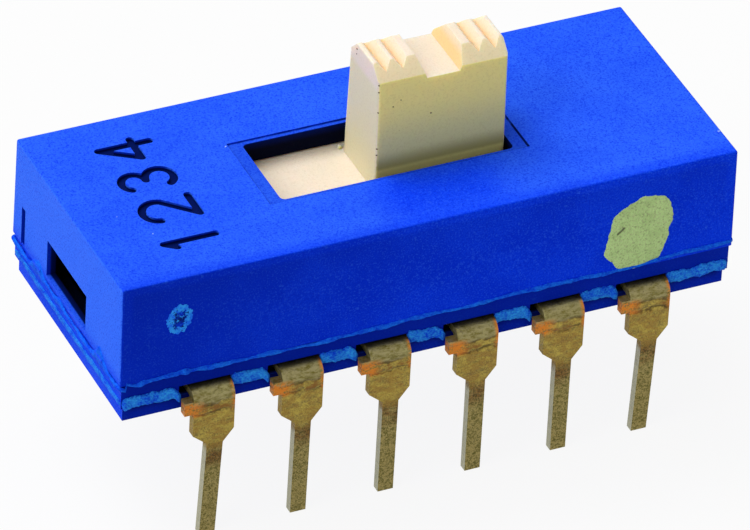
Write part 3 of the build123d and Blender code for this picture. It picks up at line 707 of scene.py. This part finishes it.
def blob(middle, outward, radius, stand, seed):
    """Closed uneven dome on a surface: a ball flattened to the stand along outward, with
    its radius rippled."""
    outward = np.array(outward, float)
    first = np.cross(outward, [0.0, 0.3, 1.0] if abs(outward[2]) < 0.9 else [1.0, 0, 0])
    first /= np.linalg.norm(first)
    second = np.cross(outward, first)
    lat = np.linspace(0, np.pi, 9)[:, None]
    lon = np.linspace(0, 2 * np.pi, 14, endpoint=False)[None, :]
    size = 1 + 0.2 * ripple(np.sin(lat) * np.cos(lon) * 2, np.sin(lat) * np.sin(lon) * 2, 2, seed)
    flat = (np.sin(lat) * radius * size)[..., None]
    return (np.array(middle, float) + outward * (np.cos(lat) * stand * size)[..., None]
            + flat * (np.cos(lon)[..., None] * first + np.sin(lon)[..., None] * second))


ivory_plastic = make_ivory_plastic()
dress(ivory_plastic, "slider")
bead = blob((*GATE_BEAD, CARRIER_TOP), (0, 0, 1), radius=0.07, stand=0.12, seed=31)
gate_bead = make_piece("gate_bead", [bead], ivory_plastic, "slider")

# --- Specks of dirt ------------------------------------------------------------------
# Crumbs of brown grime stuck along the lever's left corner and face, and a few crumbs and
# pale chips on top of the case.
GRIME = (0.160, 0.085, 0.025, 1)
CHIP = (0.450, 0.600, 0.950, 1)


def make_crumb_material(name, colour, other):
    """Dull crumb, mottled between two colours."""
    material, tree, shader, coords = start_material(name, roughness=0.8, Specular_IOR_Level=0.2)
    mottle = noise(tree, coords.outputs["Object"], 0.03, 2.0, 0.5)
    tree.links.new(tint(tree, ramp(tree, mottle, 0.4, 0.6), colour, other),
                   shader.inputs["Base Color"])
    bump(tree, shader, mottle, 0.01)
    return material


def lever_front(x, z):
    """Point on the lever's front face."""
    return (x, -(LEVER_WIDTH / 2 - (z - TOP_Z) * LEVER_LEAN), z)


lever_crumbs = [
    blob((LEVER_X + 0.03, lever_front(0, z)[1] + 0.03, z), (-0.7, -0.7, 0), 0.028, 0.014, 50 + n)
    for n, z in enumerate((11.06, 10.84, 10.20, 9.06, 8.86))
]
lever_crumbs += [
    blob(lever_front(x, z), (0, -1, 0), radius, 0.010, 60 + n)
    for n, (x, z, radius) in enumerate(((-0.09, 10.31, 0.020), (0.13, 10.47, 0.018),
                                        (1.02, 9.85, 0.024)))
]
lever_crumbs += [
    blob((LEVER_X, 0.50, z), (-1, 0, 0), radius, 0.010, 70 + n)
    for n, (z, radius) in enumerate(((11.33, 0.030), (11.18, 0.020)))
]
make_piece("lever_grime", lever_crumbs, make_crumb_material("grime", GRIME, FOOT_SHADE_AND_GRIME), "slider")
case_chips = [
    blob((x, y, TOP_Z), (0, 0, 1), radius, 0.008, 80 + n)
    for n, (x, y, radius) in enumerate(((-3.83, 1.36, 0.030), (-7.17, -1.58, 0.026),
                                        (8.80, -2.62, 0.040), (-7.75, -0.55, 0.014)))
]
make_piece("case_chips", case_chips, make_crumb_material("pale_chip", CHIP, CASE_PALE_AND_LIT), "case")

# --- Leads ---------------------------------------------------------------------------
# Twelve stamped leads of plated brass, tarnished olive and gold. The bend is dull grey, a
# stained crease crosses each shoulder, and the sheared tie-bar stub and the cut edges show
# bare copper colour.
LEAD_OLIVE = (0.190, 0.140, 0.030, 1)
LEAD_GOLD = (0.500, 0.380, 0.070, 1)
LEAD_GREY = (0.350, 0.330, 0.150, 1)
LEAD_TAIL = (0.105, 0.092, 0.010, 1)
LEAD_PINK = (0.440, 0.345, 0.120, 1)
LEAD_STAIN = (0.060, 0.036, 0.007, 1)
LEAD_BROWN = (0.230, 0.105, 0.016, 1)
LEAD_SHADOW = (0.008, 0.006, 0.004, 1)
COPPER = (0.640, 0.210, 0.018, 1)
LEAD_EDGE = (0.500, 0.500, 0.370, 1)
CREASE_LEVEL = -0.02        # heights of the stained places above the underside of the base
SECOND_CREASE_LEVEL = 0.25
ROOT_LEVEL = -1.45


def level(above):
    """Height above the underside of the base, in the material's metres."""
    return (UNDERSIDE_Z + above) * MM


def place_across_lead(tree, x, y):
    """How far the point is from its lead's middle, positive on the side without the stub.

    X is wrapped to one pitch, and turned round in the back row."""
    half_pitch = LEAD_PITCH / 2 * MM
    wrapped = add_node(tree, "ShaderNodeMath", {
        0: reckon(tree, "ADD", x, half_pitch), 1: half_pitch, 2: -half_pitch},
        operation="WRAP").outputs[0]
    return product(tree, wrapped, product(tree, reckon(tree, "SIGN", y), -1.0))


def bare_copper(tree, across, z, mottle):
    """Mask of the bare metal on the stub and along the shoulder's other edge."""
    stub = product(tree, ramp(tree, across, -0.10 * MM, -0.62 * MM, 0.0, 1.3),
                   ramp(tree, z, level(-0.16), level(0.02)))
    stub = product(tree, stub, ramp(tree, z, level(0.46), level(0.30)))
    above_taper = ramp(tree, z, level(-0.75), level(-0.60))
    edge = product(tree, ramp(tree, across, 0.50 * MM, 0.61 * MM), above_taper)
    edge = product(tree, edge, ramp(tree, z, level(-0.15), level(0.05), 0.10, 1.0))
    return reckon(tree, "MAXIMUM",
                  product(tree, stub, ramp(tree, mottle, 0.40, 0.54, 0.0, 0.9)),
                  product(tree, edge, ramp(tree, mottle, 0.42, 0.52, 0.0, 0.85)))


def make_lead_metal():
    """Tarnished plating: zones by height on the lead, each broken up by noise."""
    material, tree, shader, coords = start_material("lead_metal", Metallic=0.75)
    place = coords.outputs["Object"]
    x, y, z = axes_of(tree, place)
    facing = axes_of(tree, coords.outputs["Normal"])
    drift = noise(tree, place, 0.45, 3.0, 0.6)
    blotch = noise(tree, place, 0.24, 4.0, 0.7, stretch=(1.8, 1.8, 0.6))
    speckle = noise(tree, place, 0.085, 5.0, 0.8, stretch=(1.0, 1.0, 1.3))
    brush = noise(tree, place, 0.10, 4.0, 0.75, stretch=(2.2, 2.2, 0.8))
    height = reckon(tree, "ADD", z, ramp(tree, drift, 0.3, 0.7, -0.07 * MM, 0.07 * MM))
    fine = noise(tree, place, 0.045, 2.0, 0.6)
    coarse = reckon(tree, "ADD", product(tree, blotch, 0.35),
                    product(tree, brush, 0.25))
    mottle = reckon(tree, "ADD", coarse, product(tree, fine, 0.40))
    colour = tint(tree, ramp(tree, mottle, 0.38, 0.58), LEAD_OLIVE, LEAD_GOLD)
    browned = product(tree, ramp(tree, drift, 0.36, 0.54), ramp(tree, brush, 0.38, 0.55))
    upper = ramp(tree, height, level(-0.10), level(0.08), 0.55, 1.0)
    colour = tint(tree, product(tree, browned, upper), colour, LEAD_BROWN)
    bend = ramp(tree, height, level(0.16), level(0.34))
    grey = tint(tree, ramp(tree, brush, 0.32, 0.60), LEAD_TAIL, LEAD_GREY)
    colour = tint(tree, product(tree, bend, 0.8), colour, grey)
    tail = ramp(tree, height, level(-1.15), level(-1.45))
    patchy = reckon(tree, "ADD", product(tree, speckle, 0.5),
                    product(tree, fine, 0.5))
    worn = tint(tree, ramp(tree, patchy, 0.38, 0.64), LEAD_TAIL, LEAD_PINK)
    colour = tint(tree, tail, colour, worn)
    crease = near_band(tree, height, level(CREASE_LEVEL), 0.075 * MM)
    second = near_band(tree, height, level(SECOND_CREASE_LEVEL), 0.085 * MM)
    creases = reckon(tree, "MAXIMUM", crease, product(tree, second, 0.9))
    broken = ramp(tree, blotch, 0.40, 0.56)
    stained = product(tree, creases, product(tree, broken, 0.85))
    colour = tint(tree, stained, colour, LEAD_STAIN)
    root = near_band(tree, height, level(ROOT_LEVEL), 0.62 * MM)
    rooted = product(tree, root, ramp(tree, drift, 0.30, 0.56, 0.35, 1.0))
    rooted = product(tree, rooted, ramp(tree, blotch, 0.34, 0.54, 0.35, 0.95))
    rusty = tint(tree, ramp(tree, patchy, 0.42, 0.58), LEAD_STAIN, LEAD_BROWN)
    colour = tint(tree, rooted, colour, rusty)
    stains = ramp(tree, patchy, 0.55, 0.66, 0.0, 0.6)
    colour = tint(tree, stains, colour, LEAD_STAIN)
    copper = bare_copper(tree, place_across_lead(tree, x, y), z, mottle)
    colour = tint(tree, copper, colour, COPPER)
    shaded = ramp(tree, z, level(0.64), level(0.71), 0.0, 0.97)
    colour = tint(tree, shaded, colour, LEAD_SHADOW)
    cut_face = ramp(tree, reckon(tree, "ABSOLUTE", facing[0]), 0.6, 0.9)
    cut_face = product(tree, cut_face, tail)
    colour = tint(tree, product(tree, cut_face, 0.75), colour, LEAD_EDGE)
    tree.links.new(colour, shader.inputs["Base Color"])
    tree.links.new(ramp(tree, blotch, 0.3, 0.7, 0.42, 0.62), shader.inputs["Roughness"])
    relief = reckon(tree, "SUBTRACT", reckon(tree, "ADD", brush, speckle), creases)
    bump(tree, shader, relief, 0.024)
    return material


lead_metal = make_lead_metal()
for number in range(1, LEADS + 1):
    dress(lead_metal, f"front_lead_{number}", f"back_lead_{number}")

# --- Bridge contacts and detent ------------------------------------------------------
# Inside: four formed strips of bright spring metal, and a steel spring that presses two
# steel balls into the walls.
BRONZE = (0.800, 0.560, 0.280, 1)
BRONZE_DULL = (0.560, 0.380, 0.190, 1)
STEEL = (0.620, 0.620, 0.630, 1)
STEEL_DULL = (0.400, 0.400, 0.420, 1)


def make_drawn_metal(name, bright, dull, stretch, roughness):
    """Bright metal with fine drawing lines and slightly dulled patches."""
    material, tree, shader, coords = start_material(name, Metallic=1.0)
    place = coords.outputs["Object"]
    lines = noise(tree, place, 0.05, 2.0, 0.5, stretch=stretch)
    patches = noise(tree, place, 0.6, 3.0, 0.6)
    tree.links.new(tint(tree, ramp(tree, patches, 0.4, 0.65), bright, dull),
                   shader.inputs["Base Color"])
    tree.links.new(ramp(tree, lines, 0.3, 0.7, roughness, roughness + 0.15),
                   shader.inputs["Roughness"])
    bump(tree, shader, lines, 0.002)
    return material


contact_metal = make_drawn_metal("contact_bronze", BRONZE, BRONZE_DULL, (12, 1, 1), 0.25)
dress(contact_metal, *(f"{row}_{end}_contact" for row in ("front", "back")
                       for end in ("left", "right")))
steel = make_drawn_metal("polished_steel", STEEL, STEEL_DULL, (1, 1, 1), 0.15)
dress(steel, "front_detent_ball", "back_detent_ball", "detent_spring")

# --- Floor, light and camera ---------------------------------------------------------
# Plain white studio: a pale floor that keeps a faint shadow, white surroundings, and two
# large soft lamps, from behind and from the left: the top and the left end are bright.
FLOOR_WHITE = (0.70, 0.70, 0.70, 1)
FLOOR_GLOW = 0.90           # share of plain white that the camera and reflections see
FLOOR_HALF = 1.5            # half the floor's side, in metres
SURROUND = 0.40             # brightness of the white surroundings as a lamp
LAMP_DISTANCE = 0.50        # metres
LAMP_SIZE = 0.30
KEY_WAY = (-0.25, 0.42, 0.87)
KEY_WATTS = 1.85
LEFT_WAY = (-0.75, -0.22, 0.62)
LEFT_WATTS = 0.85
CAMERA_AZIMUTH = -26.13     # degrees
CAMERA_ELEVATION = 36.28
CAMERA_ROLL = 3.26
CAMERA_AIM = (-0.09, -0.40, 4.76)
CAMERA_DISTANCE = 227.5
CAMERA_LENS = 408           # for a sensor 36 wide


def seen_directly(tree):
    """1 for camera, glossy and transmission rays, and 0 for the rest."""
    rays = tree.nodes.new("ShaderNodeLightPath").outputs
    either = reckon(tree, "MAXIMUM", rays["Is Camera Ray"], rays["Is Glossy Ray"])
    return reckon(tree, "MAXIMUM", either, rays["Is Transmission Ray"])


def make_floor():
    """Large flat floor whose shader adds plain white for the rays that see it directly."""
    material, tree, shader, _ = start_material("floor_white", roughness=0.8,
                                               Specular_IOR_Level=0.0)
    shader.inputs["Base Color"].default_value = FLOOR_WHITE
    glow = add_node(tree, "ShaderNodeEmission", {"Color": (1, 1, 1, 1), "Strength": 1.0})
    share = product(tree, seen_directly(tree), FLOOR_GLOW)
    both = add_node(tree, "ShaderNodeMixShader", {0: share, 1: shader.outputs[0],
                                                  2: glow.outputs[0]})
    tree.links.new(both.outputs[0], tree.nodes["Material Output"].inputs["Surface"])
    corners = [(-1, -1, 0), (1, -1, 0), (1, 1, 0), (-1, 1, 0)]
    mesh = bpy.data.meshes.new("floor")
    mesh.from_pydata([(FLOOR_HALF * x, FLOOR_HALF * y, z) for x, y, z in corners], [],
                     [(0, 1, 2, 3)])
    mesh.materials.append(material)
    floor = bpy.data.objects.new("floor", mesh)
    scene.collection.objects.link(floor)


def make_surroundings():
    """White world: plain white to the camera and to reflections, dimmer as a lamp."""
    world = bpy.data.worlds.new("studio")
    world.use_nodes = True
    tree = world.node_tree
    dim = tree.nodes["Background"]
    dim.inputs["Color"].default_value = (1, 1, 1, 1)
    dim.inputs["Strength"].default_value = SURROUND
    white = add_node(tree, "ShaderNodeBackground", {"Color": (1, 1, 1, 1), "Strength": 1.0})
    both = add_node(tree, "ShaderNodeMixShader", {0: seen_directly(tree), 1: dim.outputs[0],
                                                  2: white.outputs[0]})
    tree.links.new(both.outputs[0], tree.nodes["World Output"].inputs["Surface"])
    scene.world = world


def make_lamp(name, way, watts):
    """Square soft lamp at the lamps' distance that way from the object, facing it."""
    lamp = bpy.data.lights.new(name, "AREA")
    lamp.shape = "SQUARE"
    lamp.size = LAMP_SIZE
    lamp.energy = watts
    holder = bpy.data.objects.new(name, lamp)
    scene.collection.objects.link(holder)
    way = Vector(way).normalized()
    holder.location = way * LAMP_DISTANCE
    holder.rotation_mode = "QUATERNION"
    holder.rotation_quaternion = way.to_track_quat("Z", "Y")


def make_camera():
    """Long lens from the front left and above, turned slightly about its own axis."""
    azimuth, elevation, roll = (math.radians(angle) for angle in
                                (CAMERA_AZIMUTH, CAMERA_ELEVATION, CAMERA_ROLL))
    back = Vector((math.sin(azimuth) * math.cos(elevation),
                   -math.cos(azimuth) * math.cos(elevation), math.sin(elevation)))
    right = Vector((math.cos(azimuth), math.sin(azimuth), 0))
    up = back.cross(right)
    right = right * math.cos(roll) + up * math.sin(roll)
    up = back.cross(right)
    lens = bpy.data.cameras.new("camera")
    lens.sensor_width = 36
    lens.lens = CAMERA_LENS
    lens.clip_start = 0.01
    camera = bpy.data.objects.new("camera", lens)
    scene.collection.objects.link(camera)
    camera.matrix_world = Matrix((right, up, back)).transposed().to_4x4()
    camera.location = (Vector(CAMERA_AIM) + back * CAMERA_DISTANCE) * MM
    scene.camera = camera


scene.view_settings.view_transform = "Standard"
make_floor()
make_surroundings()
make_lamp("key", KEY_WAY, KEY_WATTS)
make_lamp("left", LEFT_WAY, LEFT_WATTS)
make_camera()
